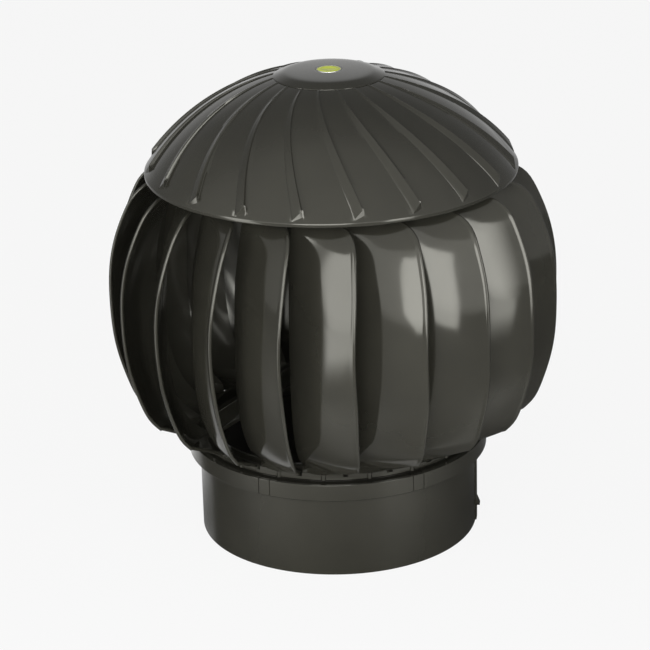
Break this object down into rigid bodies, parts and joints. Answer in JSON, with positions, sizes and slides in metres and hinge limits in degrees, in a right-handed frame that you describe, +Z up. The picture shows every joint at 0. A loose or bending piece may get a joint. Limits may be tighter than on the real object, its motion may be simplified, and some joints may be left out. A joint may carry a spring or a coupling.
{
  "type": "rotary ventilation head",
  "caption": "Wind-driven vent head: a ribbed dome over curved scoop vanes turns on a fixed axle above a round pipe socket.",
  "frame": {"origin": "on the axis, in the plane of the sleeve's lower edge", "axes": "+Z up along the axle; the picture looks along +Y, with +X to its right"},
  "size_m": [0.2628, 0.2628, 0.2791],
  "materials": {
    "moulded_plastic": "glossy injection-moulded graphite grey",
    "badge_green": "printed yellow-green disc with a thin silver edge",
    "steel": "turned steel",
    "zinc_steel": "bright zinc plate",
    "bearing_steel": "ground and polished"
  },
  "bodies": {
    "base": {"base_sleeve": "moulded_plastic", "spider": "moulded_plastic", "axle": "steel", "axle_lower_washer": "zinc_steel", "axle_lower_nut": "zinc_steel", "axle_upper_washer": "zinc_steel", "axle_upper_nut": "zinc_steel", "bearing_spacer": "zinc_steel", "lower_bearing_inner": "bearing_steel", "upper_bearing_inner": "bearing_steel"},
    "rotor": {"cap": "moulded_plastic", "crown_cover": "moulded_plastic", "badge_disc": "badge_green", "bearing_housing": "moulded_plastic", "housing_screws": "zinc_steel", "cap_pins": "moulded_plastic", "lower_bearing_outer": "bearing_steel", "upper_bearing_outer": "bearing_steel", "lower_bearing_balls": "bearing_steel", "upper_bearing_balls": "bearing_steel", "lower_ring": "moulded_plastic", "ring_pins": "moulded_plastic", "vane_01": "moulded_plastic", "vane_02": "moulded_plastic", "vane_03": "moulded_plastic", "vane_04": "moulded_plastic", "vane_05": "moulded_plastic", "vane_06": "moulded_plastic", "vane_07": "moulded_plastic", "vane_08": "moulded_plastic", "vane_09": "moulded_plastic", "vane_10": "moulded_plastic", "vane_11": "moulded_plastic", "vane_12": "moulded_plastic", "vane_13": "moulded_plastic", "vane_14": "moulded_plastic", "vane_15": "moulded_plastic", "vane_16": "moulded_plastic", "vane_17": "moulded_plastic", "vane_18": "moulded_plastic", "vane_19": "moulded_plastic", "vane_20": "moulded_plastic"}
  },
  "joints": [
    {"name": "rotor_spin", "type": "hinge", "parent": "base", "child": "rotor", "pos_m": [0, 0, 0.24], "axis": [0, 0, 1], "continuous": true}
  ]
}
